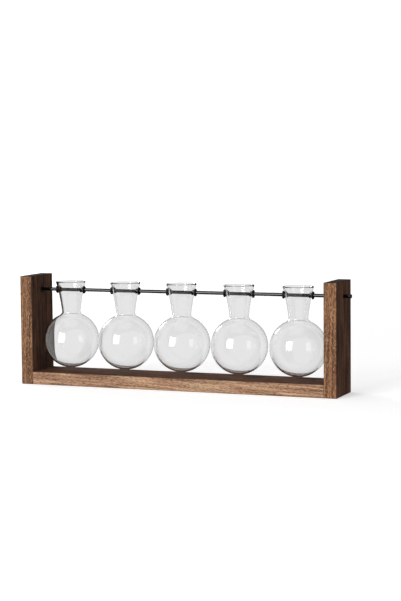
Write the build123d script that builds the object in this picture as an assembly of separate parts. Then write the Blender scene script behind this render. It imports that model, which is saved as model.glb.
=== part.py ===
from build123d import *
import os
from math import asin, cos, degrees, radians, sin, sqrt

# A wall or table propagation vase: five blown-glass bulb vases hang by their necks on one
# steel rod, which runs through rubber bushes in the two end boards of a low wooden frame.
# Millimetres. X runs along the frame, Y from the front edge to the back edge, Z up.
# The origin lies under the middle of the base board, on the plane that it stands on.

# Glass vases
vase_count = 5
bulb_diameter = 73.8
glass_wall = 1.8
waist_diameter = 24.8
waist_lean = 6.0
shoulder_radius = 5.0
rim_diameter = 40.0
waist_to_rod = 28.7
rod_to_rim = 10.7
rim_round_share = 0.48

# Spaces between the vases and round them
vase_gap = 6.2
end_gap = 6.1
bulb_lift = 4.2

# Wooden frame
board_thickness = 17.0
frame_depth = 61.0
board_above_rod = 19.0
edge_rounding = 0.9

# Dowels that join the base board to the end boards
dowel_diameter = 8.0
dowel_in_end = 11.5
dowel_in_base = 18.5
dowel_spread = 30.0
dowel_chamfer = 1.0
dowel_end_room = 0.5

# Rod, its bushes in the boards and its end caps
rod_diameter = 4.5
rod_overhang = 10.4
rod_chamfer = 0.4
running_clearance = 0.08
bush_wall = 1.0
bush_flange_width = 1.8
bush_flange_thickness = 1.0
bush_rounding = 0.4
cap_length = 4.0
cap_wall = 0.4
cap_end_thickness = 1.2
cap_rounding = 1.1
cap_lip_rounding = 0.2

# Rubber grommets in the two holes of each glass neck
grommet_wall = 0.5
grommet_flange_diameter = 10.2
grommet_flange_thickness = 1.6
grommet_rounding = 0.6
grommet_room = 0.3
grommet_lip_width = 0.5
grommet_lip_thickness = 0.8

# Keyhole hangers let into the back edges of the end boards
hanger_drop = 13.5
hanger_border = 2.5
hanger_length = 40.0
hanger_thickness = 1.6
hanger_edge = 0.3
hanger_room = 0.2
keyhole_head_diameter = 9.2
keyhole_slot_width = 4.5
keyhole_travel = 9.0
pocket_room = 0.3
pocket_depth = 7.0

# Countersunk screws that hold the hangers
screw_from_hanger_end = 5.0
screw_diameter = 3.0
screw_head_diameter = 5.8
screw_head_height = 1.4
screw_shank_length = 9.0
screw_tip_length = 2.5
screw_tip_diameter = 0.4
screw_hole_room = 0.15
recess_length = 3.0
recess_width = 0.8
recess_depth = 0.8

# Every cut runs past the face that it opens by this much.
overrun = 1.0

# Sizes worked out from those above
bulb_radius = bulb_diameter / 2
vase_pitch = bulb_diameter + vase_gap
row_length = (vase_count - 1) * vase_pitch + bulb_diameter
inner_length = row_length + 2 * end_gap
frame_length = inner_length + 2 * board_thickness

# The shoulder is a concave arc that is tangent to the bulb and to the neck's foot.
lean = radians(waist_lean)
shoulder_centre_out = waist_diameter / 2 + shoulder_radius * cos(lean)
shoulder_centre_up = sqrt((bulb_radius + shoulder_radius) ** 2 - shoulder_centre_out**2)
bulb_drop = waist_to_rod + shoulder_centre_up + shoulder_radius * sin(lean)

rod_height = board_thickness + bulb_lift + bulb_radius + bulb_drop
frame_height = rod_height + board_above_rod
rod_length = frame_length + 2 * (rod_overhang - cap_end_thickness)
bore_diameter = rod_diameter + 2 * running_clearance
bush_diameter = bore_diameter + 2 * bush_wall
sleeve_diameter = bore_diameter + 2 * grommet_wall

hanger_width = board_thickness - 2 * hanger_border
hanger_height = rod_height - hanger_drop
screw_spread = hanger_length - 2 * screw_from_hanger_end
end_board_middle = (frame_length - board_thickness) / 2


def rod_along_x(diameter, start, end):
    """A cylinder on the rod's axis, from one X place to another, with the axis at Z zero."""
    length = end - start
    return Pos(X=(start + end) / 2) * Cylinder(diameter / 2, length, rotation=(0, 90, 0))


def end_edges(solid):
    """The two circles at the ends of a cylinder that lies along X."""
    return solid.edges().filter_by(GeomType.CIRCLE)


# The glass: a bulb, a concave shoulder and a neck that opens like a trumpet.
def vase_outline():
    """The outer line from the foot of the bulb to the rim; the neck's arc is returned too."""
    bulb_centre = Vector(0, -bulb_drop)
    shoulder_centre = bulb_centre + Vector(shoulder_centre_out, shoulder_centre_up)
    outward = (shoulder_centre - bulb_centre).normalized()
    foot = bulb_centre - Vector(0, bulb_radius)
    side = bulb_centre + Vector(bulb_radius, 0)
    shoulder = bulb_centre + outward * bulb_radius
    waist = Vector(waist_diameter / 2, -waist_to_rod)
    rim = Vector(rim_diameter / 2, rod_to_rim)
    bulb_arc = ThreePointArc(foot, side, shoulder)
    shoulder_arc = TangentArc(shoulder, waist, tangent=(-outward.Y, outward.X))
    neck_arc = TangentArc(waist, rim, tangent=(sin(lean), cos(lean)))
    return bulb_arc + shoulder_arc + neck_arc, neck_arc


def neck_at(neck_arc, height):
    """The neck's outer radius and its lean from upright, at a height above the rod's axis."""
    radius = neck_arc.radius
    rise = height - neck_arc.arc_center.Y
    return neck_arc.arc_center.X - sqrt(radius**2 - rise**2), degrees(asin(rise / radius))


outline, neck_curve = vase_outline()
neck_radius, neck_lean = neck_at(neck_curve, 0)


def make_vase():
    """One blown-glass vase, with the rod's axis through its neck at Z zero."""
    wall = make_face(offset(outline, glass_wall, side=Side.LEFT, closed=True).edges())
    rim_corners = wall.vertices().sort_by(Axis.Y)[-2:]
    wall = fillet(rim_corners, glass_wall * rim_round_share)
    glass = revolve(Plane.XZ * wall, Axis.Z)
    reach = neck_radius + overrun
    return glass - rod_along_x(sleeve_diameter, -reach, reach)


def make_grommet(glass):
    """The grommet of the right-hand neck hole: a square flange, a sleeve and an inner lip."""
    inner_radius = neck_radius - glass_wall
    glass_beside_flange, _ = neck_at(neck_curve, grommet_flange_diameter / 2)
    flange_start = glass_beside_flange + grommet_room
    flange_end = flange_start + grommet_flange_thickness
    flange = rod_along_x(grommet_flange_diameter, flange_start, flange_end)
    flange = fillet(end_edges(flange), grommet_rounding)
    sleeve = rod_along_x(sleeve_diameter, inner_radius, flange_end)
    lip_diameter = sleeve_diameter + 2 * grommet_lip_width
    lip = rod_along_x(lip_diameter, -grommet_lip_thickness, glass_wall / 2)
    lip = Pos(X=inner_radius) * Rot(Y=neck_lean) * lip
    bore = rod_along_x(bore_diameter, 0, neck_radius + bulb_radius)
    return flange + sleeve + lip - glass - bore


# The wooden frame
def make_base_board():
    board = Box(inner_length, frame_depth, board_thickness)
    board = fillet(board.edges().filter_by(Axis.X), edge_rounding)
    board = Pos(Z=board_thickness / 2) * board
    depth = dowel_in_base + dowel_end_room
    for place in dowel_places():
        hole = rod_along_x(dowel_diameter, -depth, overrun)
        hole = Pos(X=inner_length / 2) * place * hole
        board = board - hole - left_of(hole)
    return board


def dowel_places():
    """The places of the dowels of one joint, in Y and Z."""
    return [Pos(0, side * dowel_spread / 2, board_thickness / 2) for side in (-1, 1)]


def make_dowel():
    """A right-hand joint's dowel, with the joint's plane at X zero."""
    dowel = rod_along_x(dowel_diameter, -dowel_in_base, dowel_in_end)
    return chamfer(end_edges(dowel), dowel_chamfer)


def hanger_plane():
    """The right-hand board's back face at the hanger: local X points up, local Z out."""
    origin = (end_board_middle, frame_depth / 2, hanger_height)
    return Plane(origin=origin, x_dir=(0, 0, 1), z_dir=(0, 1, 0))


def keyhole(head_diameter, slot_width):
    """A keyhole's outline: the round entry below and the slot above it."""
    entry = Pos(X=-keyhole_travel / 2) * Circle(head_diameter / 2)
    return entry + SlotCenterToCenter(keyhole_travel, slot_width)


def screw_places():
    return [Pos(X=side * screw_spread / 2) for side in (-1, 1)]


def screw_form(shank_diameter):
    """A countersunk screw that points down, with the top of its head at Z zero."""
    head_radius = screw_head_diameter / 2
    shank_radius = shank_diameter / 2
    shank_top = -screw_head_height
    shank_end = shank_top - screw_shank_length
    up = (Align.CENTER, Align.CENTER, Align.MAX)
    head = Cone(shank_radius, head_radius, screw_head_height, align=up)
    shank = Pos(Z=shank_top) * Cylinder(shank_radius, screw_shank_length, align=up)
    tip_radius = screw_tip_diameter / 2
    tip = Pos(Z=shank_end) * Cone(tip_radius, shank_radius, screw_tip_length, align=up)
    return head + shank + tip


def make_end_board():
    """The right-hand end board, with its holes for the bush, the dowels and the hanger."""
    board = Box(board_thickness, frame_depth, frame_height)
    board = fillet(board.edges(), edge_rounding)
    board = Pos(end_board_middle, 0, frame_height / 2) * board
    reach = frame_length / 2 + overrun
    board -= Pos(Z=rod_height) * rod_along_x(bush_diameter, inner_length / 2 - overrun, reach)
    depth = dowel_in_end + dowel_end_room
    for place in dowel_places():
        hole = rod_along_x(dowel_diameter, -overrun, depth)
        board -= Pos(X=inner_length / 2) * place * hole
    back = hanger_plane()
    recess_outline = SlotOverall(hanger_length + 2 * hanger_room, hanger_width + 2 * hanger_room)
    recess = Pos(Z=overrun) * extrude(recess_outline, -hanger_thickness - overrun)
    board -= back * recess
    pocket_width = keyhole_head_diameter + 2 * pocket_room
    pocket = extrude(keyhole(pocket_width, pocket_width), -hanger_thickness - pocket_depth)
    board -= back * pocket
    for place in screw_places():
        board -= back * place * screw_form(screw_diameter)
    return board


def make_hanger():
    """The right-hand keyhole plate, flush with the board's back edge."""
    plate = extrude(SlotOverall(hanger_length, hanger_width), -hanger_thickness)
    plate = chamfer(plate.faces().sort_by(Axis.Z)[-1].edges(), hanger_edge)
    opening = extrude(keyhole(keyhole_head_diameter, keyhole_slot_width), -hanger_thickness)
    plate -= opening
    for place in screw_places():
        plate -= place * screw_form(screw_diameter + 2 * screw_hole_room)
    return hanger_plane() * plate


def make_hanger_screws():
    """The two right-hand hanger screws, as separate solids."""
    screw = screw_form(screw_diameter)
    for angle in (0, 90):
        slot = Box(recess_length, recess_width, 2 * recess_depth)
        screw -= Rot(Z=angle) * slot
    return [hanger_plane() * place * screw for place in screw_places()]


# The rod and what it carries
def make_rod():
    rod = rod_along_x(rod_diameter, -rod_length / 2, rod_length / 2)
    return Pos(Z=rod_height) * chamfer(end_edges(rod), rod_chamfer)


def make_bush():
    """The right-hand bush: flanged on the board's inner face, flush with its outer face."""
    start, end = inner_length / 2, frame_length / 2
    flange_diameter = bush_diameter + 2 * bush_flange_width
    flange = rod_along_x(flange_diameter, start - bush_flange_thickness, start)
    flange = fillet(end_edges(flange).sort_by(Axis.X)[0], bush_rounding)
    bush = flange + rod_along_x(bush_diameter, start, end)
    bore = rod_along_x(bore_diameter, start - bush_flange_thickness - overrun, end + overrun)
    return Pos(Z=rod_height) * (bush - bore)


def make_cap():
    """The right-hand rubber cap, pushed over the rod's end."""
    end = frame_length / 2 + rod_overhang
    cap = rod_along_x(rod_diameter + 2 * cap_wall, end - cap_length, end)
    ends = end_edges(cap).sort_by(Axis.X)
    cap = fillet(ends[-1], cap_rounding)
    cap = fillet(end_edges(cap).sort_by(Axis.X)[0], cap_lip_rounding)
    socket = rod_along_x(rod_diameter, end - cap_length - overrun, end - cap_end_thickness)
    return Pos(Z=rod_height) * (cap - socket)


def left_of(solid):
    """The left-hand twin of a right-hand piece."""
    return mirror(solid, Plane.YZ)


def make_nodes():
    """Every piece by name, in its place."""
    nodes = {"base_board": make_base_board(), "hanging_rod": make_rod()}
    pairs = {
        "end_board": make_end_board(),
        "rod_bush": make_bush(),
        "rod_end_cap": make_cap(),
        "hanger_plate": make_hanger(),
    }
    for row, place in zip(("front", "back"), dowel_places()):
        pairs[f"joint_dowel_{row}"] = Pos(X=inner_length / 2) * place * make_dowel()
    for name, solid in pairs.items():
        nodes[f"{name}_right"] = solid
        nodes[f"{name}_left"] = left_of(solid)
    screws = make_hanger_screws()
    nodes["hanger_screws_right"] = Compound(children=screws)
    nodes["hanger_screws_left"] = Compound(children=[left_of(screw) for screw in screws])
    glass = make_vase()
    grommet = make_grommet(glass)
    for number in range(vase_count):
        offset_x = (number - (vase_count - 1) / 2) * vase_pitch
        place = Pos(offset_x, 0, rod_height)
        nodes[f"glass_vase_{number + 1}"] = place * glass
        nodes[f"neck_grommet_{number + 1}_right"] = place * grommet
        nodes[f"neck_grommet_{number + 1}_left"] = place * left_of(grommet)
    return nodes


os.makedirs("parts", exist_ok=True)
for name, solid in make_nodes().items():
    export_step(solid, f"parts/{name}.step")
print(f"frame {frame_length:.1f} long, {frame_depth:.1f} deep, {frame_height:.1f} high")
print(f"rod axis {rod_height:.2f} high, neck radius {neck_radius:.2f}, lean {neck_lean:.1f}")
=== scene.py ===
# %% [markdown]
# # A row of glass bulb vases on a rod
# This lesson dresses a propagation vase: five blown-glass bulbs with trumpet necks hang side
# by side on one thin black rod, between the end boards of a shallow wooden frame. The
# construction is already there as a frame of finished parts, so the work here is what the eye
# meets first, which is clear glass, dark stained wood, enamelled steel and rubber.

# %% Load the frame
import math

import bmesh
import bpy
from mathutils import Matrix, Vector


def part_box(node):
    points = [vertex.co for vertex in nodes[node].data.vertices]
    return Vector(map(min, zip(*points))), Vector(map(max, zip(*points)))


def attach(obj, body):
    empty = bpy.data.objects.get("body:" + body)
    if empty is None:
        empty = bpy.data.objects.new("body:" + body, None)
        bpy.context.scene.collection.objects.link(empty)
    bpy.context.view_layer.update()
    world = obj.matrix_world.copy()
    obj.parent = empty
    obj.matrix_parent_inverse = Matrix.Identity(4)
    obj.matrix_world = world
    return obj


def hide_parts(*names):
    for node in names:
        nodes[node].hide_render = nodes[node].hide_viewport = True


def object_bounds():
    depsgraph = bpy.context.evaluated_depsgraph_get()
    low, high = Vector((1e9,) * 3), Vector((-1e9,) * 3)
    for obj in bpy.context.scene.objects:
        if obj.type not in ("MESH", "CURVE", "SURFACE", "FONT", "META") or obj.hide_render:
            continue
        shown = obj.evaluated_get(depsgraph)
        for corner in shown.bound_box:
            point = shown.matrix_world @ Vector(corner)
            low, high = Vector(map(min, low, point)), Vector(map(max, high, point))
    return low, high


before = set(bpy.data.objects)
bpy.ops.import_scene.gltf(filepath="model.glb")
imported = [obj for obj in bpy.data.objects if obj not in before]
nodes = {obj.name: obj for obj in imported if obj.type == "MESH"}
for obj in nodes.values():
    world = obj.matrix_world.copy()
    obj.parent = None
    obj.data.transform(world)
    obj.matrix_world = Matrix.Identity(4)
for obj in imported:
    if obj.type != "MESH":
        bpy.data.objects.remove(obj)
cad_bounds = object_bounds()
print("construction box", [round(1000 * (high - low), 1) for low, high in zip(*cad_bounds)], "mm")

# %% [markdown]
# ## Colours and nodes
# A colour picker shows sRGB, but a shader works in linear light. Every colour below is written
# as the hex value that a picker shows, and one function turns it to linear. A second function
# adds a node, sets its sockets and makes its links, so that a material reads from top to
# bottom like a recipe.


# %% Helpers for colours and nodes
MM = 0.001


def linear(hex_colour):
    """An sRGB hex colour, such as '8a5a3c', as linear red, green, blue and alpha."""
    shares = [int(hex_colour[i : i + 2], 16) / 255 for i in (0, 2, 4)]
    return [s / 12.92 if s <= 0.04045 else ((s + 0.055) / 1.055) ** 2.4 for s in shares] + [1.0]


def add(tree, kind, sockets=None, stops=None, **settings):
    """Adds a node and returns its output. A socket takes a value, or another node's output."""
    node = tree.nodes.new(kind)
    for name, value in settings.items():
        setattr(node, name, value)
    for key, value in (sockets or {}).items():
        if isinstance(key, int):
            socket = node.inputs[key]
        else:
            socket = next(s for s in node.inputs if s.name == key and s.enabled)
        if isinstance(value, bpy.types.NodeSocket):
            tree.links.new(value, socket)
        else:
            socket.default_value = value
    for index, (place, colour) in enumerate(stops or []):
        elements = node.color_ramp.elements
        element = elements[index] if index < len(elements) else elements.new(place)
        element.position = place
        element.color = linear(colour)
    return next((s for s in node.outputs if s.enabled), None)


def new_material(name):
    """An empty material and its node tree."""
    material = bpy.data.materials.new(name)
    material.use_nodes = True
    material.node_tree.nodes.clear()
    return material, material.node_tree


def dress(names, material):
    """Gives nodes of the frame a material."""
    for name in names:
        mesh = nodes[name].data
        mesh.materials.clear()
        mesh.materials.append(material)
    print(material.name, "on", len(names), "pieces")


# %% [markdown]
# ## Stained hardwood
# The boards are planed hardwood with a brown stain, left matt. Stain sinks into the open pores,
# which turn nearly black, and skips the hard flecks between them. The pattern is solid, as in
# real wood: noise that is drawn out along the grain gives dashes on a face and dots on end
# grain. The narrow front and back edges are painted golden and speckled, and the wide faces
# chocolate brown. This is partly the wood's tone and partly painted light: the edges are painted
# as lit by the front key, and the wide faces as in shade. Pores are 0.3 mm wide on the real
# boards, which is too fine to show from two metres, so they are drawn at 0.9 mm. A board is never
# sawn quite along the grain, so the pattern is turned by a few degrees and its lines run out at
# the edges. No two boards take a stain alike, and here the left board came out the darkest.


# %% Grain
pore_width, pore_length = 0.9 * MM, 4.5 * MM
fleck_width, fleck_length = 0.9 * MM, 4.0 * MM
streak_width, streak_length = 2.6 * MM, 70 * MM
cloud_width, cloud_length = 14 * MM, 90 * MM
grain_slope = math.radians(2.5)
# Flecks and clouds lie elsewhere in the noise, so that they don't repeat pores and streaks.
fleck_shift, cloud_shift = 3.0, 8.5


def grain(tree, along, width, length, detail, shift=0.0):
    """Noise drawn out along the grain, with features of a real width and length."""
    size = tuple(length if part else width for part in along)
    where = tree.nodes.new("ShaderNodeTexCoord").outputs["Object"]
    sockets = {"Vector": where, "Location": (shift, shift, shift), "Rotation": (0, grain_slope, 0)}
    sockets["Scale"] = size
    mapped = add(tree, "ShaderNodeMapping", sockets, vector_type="TEXTURE")
    sockets = {"Vector": mapped, "Scale": 1.0, "Detail": detail}
    sockets.update({"Roughness": 0.6, "Distortion": 0.35})
    return add(tree, "ShaderNodeTexNoise", sockets)


# %% Where the surface faces
def facing(tree, along):
    """How far a point lies on a front or back edge, on end grain, and on a rounded edge between
    faces, which is darkened as painted shade.
    """
    normal = tree.nodes.new("ShaderNodeTexCoord").outputs["Normal"]
    parts = tree.nodes.new("ShaderNodeSeparateXYZ")
    tree.links.new(normal, parts.inputs["Vector"])
    x, y, z = [
        add(tree, "ShaderNodeMath", {0: part}, operation="ABSOLUTE") for part in parts.outputs
    ]
    edge = add(tree, "ShaderNodeMapRange", {"Value": y, "From Min": 0.5, "From Max": 0.9})
    lengthwise = x if along[0] else z
    end = add(tree, "ShaderNodeMapRange", {"Value": lengthwise, "From Min": 0.6, "From Max": 0.9})
    widest = add(tree, "ShaderNodeMath", {0: x, 1: y}, operation="MAXIMUM")
    widest = add(tree, "ShaderNodeMath", {0: widest, 1: z}, operation="MAXIMUM")
    # The rounded edges between faces get a dark tone as painted shade.
    sockets = {"Value": widest, "From Min": 0.8, "From Max": 0.985, "To Min": 0.85, "To Max": 0.0}
    return edge, end, add(tree, "ShaderNodeMapRange", sockets)


# %% Stained wood
# Edge tones are lighter than face tones, partly the wood's tone and partly painted light: edges
# painted lit, wide faces painted in shade.
face_tones = [(0.34, "382117"), (0.5, "62402c"), (0.66, "8a5b3c")]
base_edge_tones = [(0.34, "7a543c"), (0.5, "b0866a"), (0.66, "d6b18c")]
end_edge_tones = [(0.36, "583622"), (0.5, "815436"), (0.64, "a87850")]


def stained_wood(name, along, edge_tones, lightness):
    """Stained hardwood with its grain along one axis, as (0, 0, 1). Lightness scales its tone."""
    material, tree = new_material(name)
    edge, end, arris_shade = facing(tree, along)
    streaks = grain(tree, along, streak_width, streak_length, 4)
    face = add(tree, "ShaderNodeValToRGB", {"Fac": streaks}, stops=face_tones)
    # Front and back edges take the lighter tones, partly the wood's tone and partly painted light
    # from the front key.
    edge_tone_and_light = add(tree, "ShaderNodeValToRGB", {"Fac": streaks}, stops=edge_tones)
    sockets = {"Factor": edge, "A": face, "B": edge_tone_and_light}
    colour = add(tree, "ShaderNodeMix", sockets, data_type="RGBA")
    clouds = grain(tree, along, cloud_width, cloud_length, 2, cloud_shift)
    sockets = {"Value": clouds, "From Min": 0.3, "From Max": 0.7}
    sockets.update({"To Min": 0.76 * lightness, "To Max": 1.16 * lightness})
    shade = add(tree, "ShaderNodeMapRange", sockets)
    colour = add(tree, "ShaderNodeVectorMath", {0: colour, "Scale": shade}, operation="SCALE")
    flecks = grain(tree, along, fleck_width, fleck_length, 1, fleck_shift)
    sockets = {"Value": flecks, "From Min": 0.5, "From Max": 0.66, "To Max": 0.42}
    fleck_share = add(tree, "ShaderNodeMapRange", sockets)
    fleck_share = add(tree, "ShaderNodeMath", {0: fleck_share, 1: edge}, operation="MULTIPLY")
    pores = grain(tree, along, pore_width, pore_length, 1.5)
    sockets = {"Value": pores, "From Min": 0.5, "From Max": 0.66, "To Max": 0.7}
    pore_share = add(tree, "ShaderNodeMapRange", sockets)
    # The dark tone on the rounded edges is painted shade.
    layers = [(fleck_share, "dcb088"), (pore_share, "38200f"), (end, "35231a"), (arris_shade, "2a1a11")]
    for share, tone in layers:
        sockets = {"Factor": share, "A": colour, "B": linear(tone)}
        colour = add(tree, "ShaderNodeMix", sockets, data_type="RGBA")
    height = add(tree, "ShaderNodeMath", {0: pores, 1: -1.0}, operation="MULTIPLY")
    sockets = {"Height": height, "Strength": 0.6, "Distance": 0.4 * MM}
    bump = add(tree, "ShaderNodeBump", sockets)
    sockets = {"Value": streaks, "From Min": 0.3, "From Max": 0.7, "To Min": 0.8, "To Max": 0.62}
    rough = add(tree, "ShaderNodeMapRange", sockets)
    sockets = {"Base Color": colour, "Roughness": rough, "Normal": bump, "Specular IOR Level": 0.3}
    shader = add(tree, "ShaderNodeBsdfPrincipled", sockets)
    add(tree, "ShaderNodeOutputMaterial", {"Surface": shader})
    return material


# %% Three boards
sides = ("right", "left")
base_lightness, end_lightness = 0.95, (0.94, 0.79)
wood = stained_wood("stained hardwood, base", (1, 0, 0), base_edge_tones, base_lightness)
dress(["base_board"], wood)
for side, lightness in zip(sides, end_lightness):
    wood = stained_wood(f"stained hardwood, {side}", (0, 0, 1), end_edge_tones, lightness)
    dress([f"end_board_{side}"], wood)

# %% [markdown]
# ## Steel, rubber and beech
# The rod is steel wire under a black enamel, so it shows the studio lights as one thin bright
# line. The bushes, the caps and the grommets are moulded rubber, near black and only a little
# shiny. The hangers are zinc-plated sheet, and the dowels are turned beech. All four are one
# recipe: a colour, a roughness, and a fine grit that unsettles both the gloss and the surface.


# %% Enamel, rubber, zinc and beech
def fine_surface(name, colour, roughness, grit, bump_depth, metallic=0.0):
    """A moulded, coated, plated or turned surface with a fine uneven finish, grit across."""
    material, tree = new_material(name)
    where = tree.nodes.new("ShaderNodeTexCoord").outputs["Object"]
    sockets = {"Vector": where, "Scale": 1 / grit, "Detail": 3.0}
    noise = add(tree, "ShaderNodeTexNoise", sockets)
    sockets = {"Value": noise, "From Min": 0.3, "From Max": 0.7}
    sockets.update({"To Min": roughness * 0.8, "To Max": roughness * 1.2})
    rough = add(tree, "ShaderNodeMapRange", sockets)
    sockets = {"Height": noise, "Strength": 0.4, "Distance": bump_depth}
    bump = add(tree, "ShaderNodeBump", sockets)
    sockets = {"Base Color": linear(colour), "Metallic": metallic}
    sockets.update({"Roughness": rough, "Normal": bump})
    shader = add(tree, "ShaderNodeBsdfPrincipled", sockets)
    add(tree, "ShaderNodeOutputMaterial", {"Surface": shader})
    return material


numbers = range(1, 6)
enamel = fine_surface("black enamel on steel", "040404", 0.05, 1.5 * MM, 0.002 * MM)
rubber = fine_surface("moulded black rubber", "0e0e0e", 0.5, 0.8 * MM, 0.05 * MM)
zinc = fine_surface("zinc plated steel", "c0c2c0", 0.45, 2 * MM, 0.02 * MM, metallic=0.6)
beech = fine_surface("turned beech", "d2ac7e", 0.6, 1 * MM, 0.05 * MM)
dress(["hanging_rod"], enamel)
dress([f"rod_{kind}_{side}" for kind in ("bush", "end_cap") for side in sides], rubber)
dress([f"neck_grommet_{n}_{side}" for n in numbers for side in sides], rubber)
dress([f"hanger_{kind}_{side}" for kind in ("plate", "screws") for side in sides], zinc)
dress([f"joint_dowel_{row}_{side}" for row in ("front", "back") for side in sides], beech)

# %% [markdown]
# ## Blown glass
# Each vase was blown from one tube of clear borosilicate glass: a round bulb, a tight shoulder
# and a neck that opens like a trumpet to a fire-polished rim. A turned shape comes from one
# outline spun round its axis. A modifier could thicken the outer line into a wall, but it would
# leave the rim square. So one function draws the line at any depth in the glass: the outer skin
# at depth zero, the inner skin at the wall's full depth, and half a circle joins them at the rim.

# %% Sizes of the glass
glass_wall = 1.8 * MM
waist_radius = 12.4 * MM
waist_lean = math.radians(6)
shoulder_radius = 5 * MM
rim_radius = 20 * MM
hole_radius = 2.85 * MM
bulb_steps, shoulder_steps, neck_steps, rim_steps = 44, 8, 18, 8
turn_steps, hole_steps = 128, 48
merge_distance = 0.01 * MM
crease_angle = math.radians(40)


def arc_points(centre, radius, start, end, count):
    """Points on an arc in the XZ plane, from a start angle to an end angle."""
    angles = [start + (end - start) * i / count for i in range(count + 1)]
    return [centre + radius * Vector((math.cos(a), 0, math.sin(a))) for a in angles]


# %% One line through the glass
def vase_arcs(bulb_radius, rim_height):
    """The three arcs of the outer skin as (centre, radius, start, end, bulges outwards)."""
    out = waist_radius + shoulder_radius * math.cos(waist_lean)
    rise = math.sqrt((bulb_radius + shoulder_radius) ** 2 - out**2)
    shoulder_centre = Vector((out, 0, rise))
    joint = math.atan2(rise, out)
    waist_angle = math.pi - waist_lean
    to_waist = Vector((math.cos(waist_angle), 0, math.sin(waist_angle)))
    waist = shoulder_centre + shoulder_radius * to_waist
    chord = Vector((rim_radius, 0, rim_height)) - waist
    bend = math.atan2(chord.x, chord.z) - waist_lean
    radius = chord.length / (2 * math.sin(bend))
    neck_centre = waist - radius * to_waist
    lip = glass_wall / 2 / radius
    return [
        (Vector(), bulb_radius, -math.pi / 2, joint, True),
        (shoulder_centre, shoulder_radius, math.pi + joint, waist_angle, False),
        (neck_centre, radius, waist_angle, waist_angle - 2 * bend + lip, False),
    ]


def skin(arcs, depth):
    """The line at a depth below the outer skin, from the foot to the rim."""
    line = []
    all_steps = (bulb_steps, shoulder_steps, neck_steps)
    for (centre, radius, start, end, bulges), steps in zip(arcs, all_steps):
        inset = -depth if bulges else depth
        line += arc_points(centre, radius + inset, start, end, steps)[1 if line else 0 :]
    return line


# %% Spin the outline
def spun_glass(arcs):
    """The closed wall of one vase, with the bulb's middle at the origin."""
    outer, inner = skin(arcs, 0), skin(arcs, glass_wall)
    middle = (outer[-1] + inner[-1]) / 2
    across = outer[-1] - middle
    start = math.atan2(across.z, across.x)
    rim = arc_points(middle, glass_wall / 2, start, start + math.pi, rim_steps)
    bm = bmesh.new()
    points = [bm.verts.new(point) for point in outer + rim[1:-1] + inner[::-1]]
    edges = [bm.edges.new(pair) for pair in zip(points, points[1:])]
    once_round = {"cent": (0, 0, 0), "axis": (0, 0, 1), "angle": 2 * math.pi}
    bmesh.ops.spin(bm, geom=points + edges, steps=turn_steps, use_merge=True, **once_round)
    bmesh.ops.remove_doubles(bm, verts=bm.verts, dist=merge_distance)
    bmesh.ops.recalc_face_normals(bm, faces=bm.faces)
    mesh = bpy.data.meshes.new("spun_glass")
    bm.to_mesh(mesh)
    bm.free()
    return mesh


# %% Drill the neck
def rod_shaped_cutter(radius, length, height):
    """A bar along X, as long and thick as the drill's path through a neck."""
    bm = bmesh.new()
    sizes = {"radius1": radius, "radius2": radius, "depth": length}
    bmesh.ops.create_cone(bm, cap_ends=True, segments=hole_steps, **sizes)
    bmesh.ops.rotate(bm, verts=bm.verts, matrix=Matrix.Rotation(math.pi / 2, 3, "Y"))
    bmesh.ops.translate(bm, verts=bm.verts, vec=(0, 0, height))
    mesh = bpy.data.meshes.new("drill_path")
    bm.to_mesh(mesh)
    bm.free()
    return mesh


def drilled(mesh, cutter_mesh):
    """A copy of a mesh with the cutter's shape taken out of it."""
    scene = bpy.context.scene
    blank = bpy.data.objects.new("blank", mesh)
    cutter = bpy.data.objects.new("cutter", cutter_mesh)
    for item in (blank, cutter):
        scene.collection.objects.link(item)
    boolean = blank.modifiers.new("holes", "BOOLEAN")
    boolean.operation = "DIFFERENCE"
    boolean.solver = "EXACT"
    boolean.object = cutter
    graph = bpy.context.evaluated_depsgraph_get()
    result = bpy.data.meshes.new_from_object(blank.evaluated_get(graph))
    for item in (blank, cutter):
        bpy.data.objects.remove(item)
    return result


rod_low, rod_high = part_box("hanging_rod")
vase_low, vase_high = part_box("glass_vase_3")
bulb_radius = (vase_high.x - vase_low.x) / 2
bulb_height = vase_low.z + bulb_radius
rod_above_bulb = (rod_low.z + rod_high.z) / 2 - bulb_height
arcs = vase_arcs(bulb_radius, vase_high.z - bulb_height)
drill_path = rod_shaped_cutter(hole_radius, 2 * bulb_radius, rod_above_bulb)
one_vase = drilled(spun_glass(arcs), drill_path)
one_vase.shade_smooth()
one_vase.set_sharp_from_angle(angle=crease_angle)
print("one vase has", len(one_vase.polygons), "faces")


# %% Clear glass
def clear_glass():
    """Clear borosilicate glass: a low IOR, no colour to speak of and a polished surface."""
    material, tree = new_material("clear borosilicate glass")
    sockets = {"Base Color": linear("fdfdfd"), "Roughness": 0.0, "IOR": 1.47}
    sockets["Transmission Weight"] = 1.0
    shader = add(tree, "ShaderNodeBsdfPrincipled", sockets)
    add(tree, "ShaderNodeOutputMaterial", {"Surface": shader})
    return material


# %% Five vases on the rod
glass = clear_glass()
for number in numbers:
    low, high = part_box(f"glass_vase_{number}")
    place = ((low.x + high.x) / 2, (low.y + high.y) / 2, bulb_height)
    mesh = one_vase.copy()
    mesh.name = f"blown_vase_{number}"
    mesh.transform(Matrix.Translation(place))
    mesh.materials.clear()
    mesh.materials.append(glass)
    vase = bpy.data.objects.new(f"blown_vase_{number}", mesh)
    bpy.context.scene.collection.objects.link(vase)
    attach(vase, f"vase_{number}")
    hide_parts(f"glass_vase_{number}")
    print(vase.name, "at", [round(1000 * part, 1) for part in place], "mm")

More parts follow.
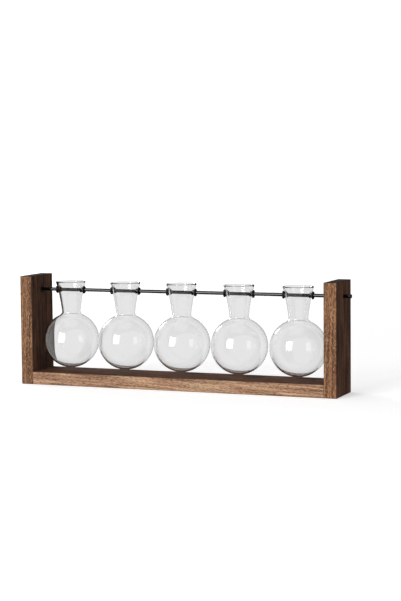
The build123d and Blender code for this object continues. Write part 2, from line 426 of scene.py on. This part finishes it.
# %% [markdown]
# ## Studio
# Clear glass has no look of its own: it shows what is round it. The paper sweep is bright white
# for the camera, but the room that the glass bends and mirrors is dimmer, and that difference
# draws the bulbs. Light that bounces off white paper would flatten the boards, so the sweep is
# kept out of the bounces. It glows less near the object, where the softboxes light it, so that
# a soft shadow shows there and the far edge still melts into the white. One tall softbox to the
# front left lights the front edges and puts a bright window on every bulb. A weak one overhead
# lights the tops. One behind on the left keeps the back from falling into the dark, and a near
# one on the right reaches the outer side of the right board more than the inner side of the
# left one. No softbox shows through the glass, where it would be a white patch in every bulb.


# %% Paper sweep
sweep_size = 8.0
near_glow, far_glow = 0.4, 0.76
near_reach, far_reach = 0.5, 3.2


def paper_sweep():
    """A sheet of white paper under the object that glows, and glows less near its middle."""
    bm = bmesh.new()
    bmesh.ops.create_grid(bm, x_segments=1, y_segments=1, size=sweep_size / 2)
    mesh = bpy.data.meshes.new("paper_sweep")
    bm.to_mesh(mesh)
    bm.free()
    sweep = bpy.data.objects.new("paper_sweep", mesh)
    bpy.context.scene.collection.objects.link(sweep)
    material, tree = new_material("backlit white paper")
    where = tree.nodes.new("ShaderNodeTexCoord").outputs["Object"]
    distance = tree.nodes.new("ShaderNodeVectorMath")
    distance.operation = "LENGTH"
    tree.links.new(where, distance.inputs[0])
    sockets = {"Value": distance.outputs["Value"], "From Min": near_reach, "From Max": far_reach}
    sockets.update({"To Min": near_glow, "To Max": far_glow})
    glow = add(tree, "ShaderNodeMapRange", sockets, interpolation_type="SMOOTHSTEP")
    sockets = {"Base Color": linear("eeeeee"), "Roughness": 0.9}
    sockets.update({"Emission Color": linear("ffffff"), "Emission Strength": glow})
    shader = add(tree, "ShaderNodeBsdfPrincipled", sockets)
    add(tree, "ShaderNodeOutputMaterial", {"Surface": shader})
    mesh.materials.append(material)
    sweep.visible_diffuse = False
    sweep.visible_glossy = False
    sweep.visible_transmission = False
    print("paper", sweep_size, "m square")
    return sweep


paper_sweep()

# %% Room light
room_glow = 0.3
seen_by = {"Is Glossy Ray": 0.12, "Is Transmission Ray": 0.84, "Is Camera Ray": 1.0}
world = bpy.data.worlds.new("studio")
bpy.context.scene.world = world
world.use_nodes = True
tree = world.node_tree
tree.nodes.clear()
path = tree.nodes.new("ShaderNodeLightPath").outputs
strength = room_glow
for ray, brightness in seen_by.items():
    strength = add(tree, "ShaderNodeMix", {"Factor": path[ray], "A": strength, "B": brightness})
glow = add(tree, "ShaderNodeBackground", {"Color": linear("ffffff"), "Strength": strength})
add(tree, "ShaderNodeOutputWorld", {"Surface": glow})
print("room", room_glow, "and", seen_by)

# %% Softboxes
object_middle = (cad_bounds[0] + cad_bounds[1]) / 2


def direction(azimuth, elevation):
    """The way out from the object. Azimuth runs to the right from the front, in degrees."""
    turn, lift = math.radians(azimuth), math.radians(elevation)
    level = math.cos(lift)
    return Vector((math.sin(turn) * level, -math.cos(turn) * level, math.sin(lift)))


def softbox(name, azimuth, elevation, distance, width, height, watts):
    """An area light that faces the object."""
    away = direction(azimuth, elevation)
    light = bpy.data.lights.new(name, "AREA")
    light.shape = "RECTANGLE"
    light.size, light.size_y, light.energy = width, height, watts
    lamp = bpy.data.objects.new(name, light)
    lamp.location = object_middle + distance * away
    lamp.rotation_euler = away.to_track_quat("Z", "Y").to_euler()
    lamp.visible_transmission = False
    bpy.context.scene.collection.objects.link(lamp)
    print(name, "at", [round(part, 2) for part in lamp.location])


softbox("key softbox", -19, 13, distance=6.0, width=3.0, height=4.0, watts=330)
softbox("overhead softbox", 0, 80, distance=1.8, width=1.4, height=1.4, watts=7)
softbox("side softbox", -120, 12, distance=3.0, width=1.5, height=1.5, watts=45)
softbox("right softbox", 62, 8, distance=1.5, width=0.5, height=0.8, watts=3.2)

# %% [markdown]
# ## Camera
# The camera stands to the right of the middle, a little above, and two metres away with a long
# lens, so that the two end boards look nearly alike in height. Its axes are built by hand from
# the line of sight, because the picture is also rolled by half a degree.

# %% Camera
camera_azimuth, camera_elevation = 22.097, 5.111
camera_roll = math.radians(-0.548)
camera_distance = 2.1584
camera_target = Vector((0.02667, 0, 0.11524))
lens_length = 99.92

back = direction(camera_azimuth, camera_elevation)
level_right = direction(camera_azimuth + 90, 0)
right = math.cos(camera_roll) * level_right + math.sin(camera_roll) * back.cross(level_right)
axes = Matrix((right, back.cross(right), back)).transposed().to_4x4()
camera_data = bpy.data.cameras.new("camera")
camera_data.lens = lens_length
camera_data.sensor_width = 36
camera_data.clip_end = 20
camera = bpy.data.objects.new("camera", camera_data)
camera.matrix_world = Matrix.Translation(camera_target + camera_distance * back) @ axes
bpy.context.scene.collection.objects.link(camera)
bpy.context.scene.camera = camera
bpy.context.scene.view_settings.view_transform = "Standard"
print("camera at", [round(part, 2) for part in camera.matrix_world.translation])
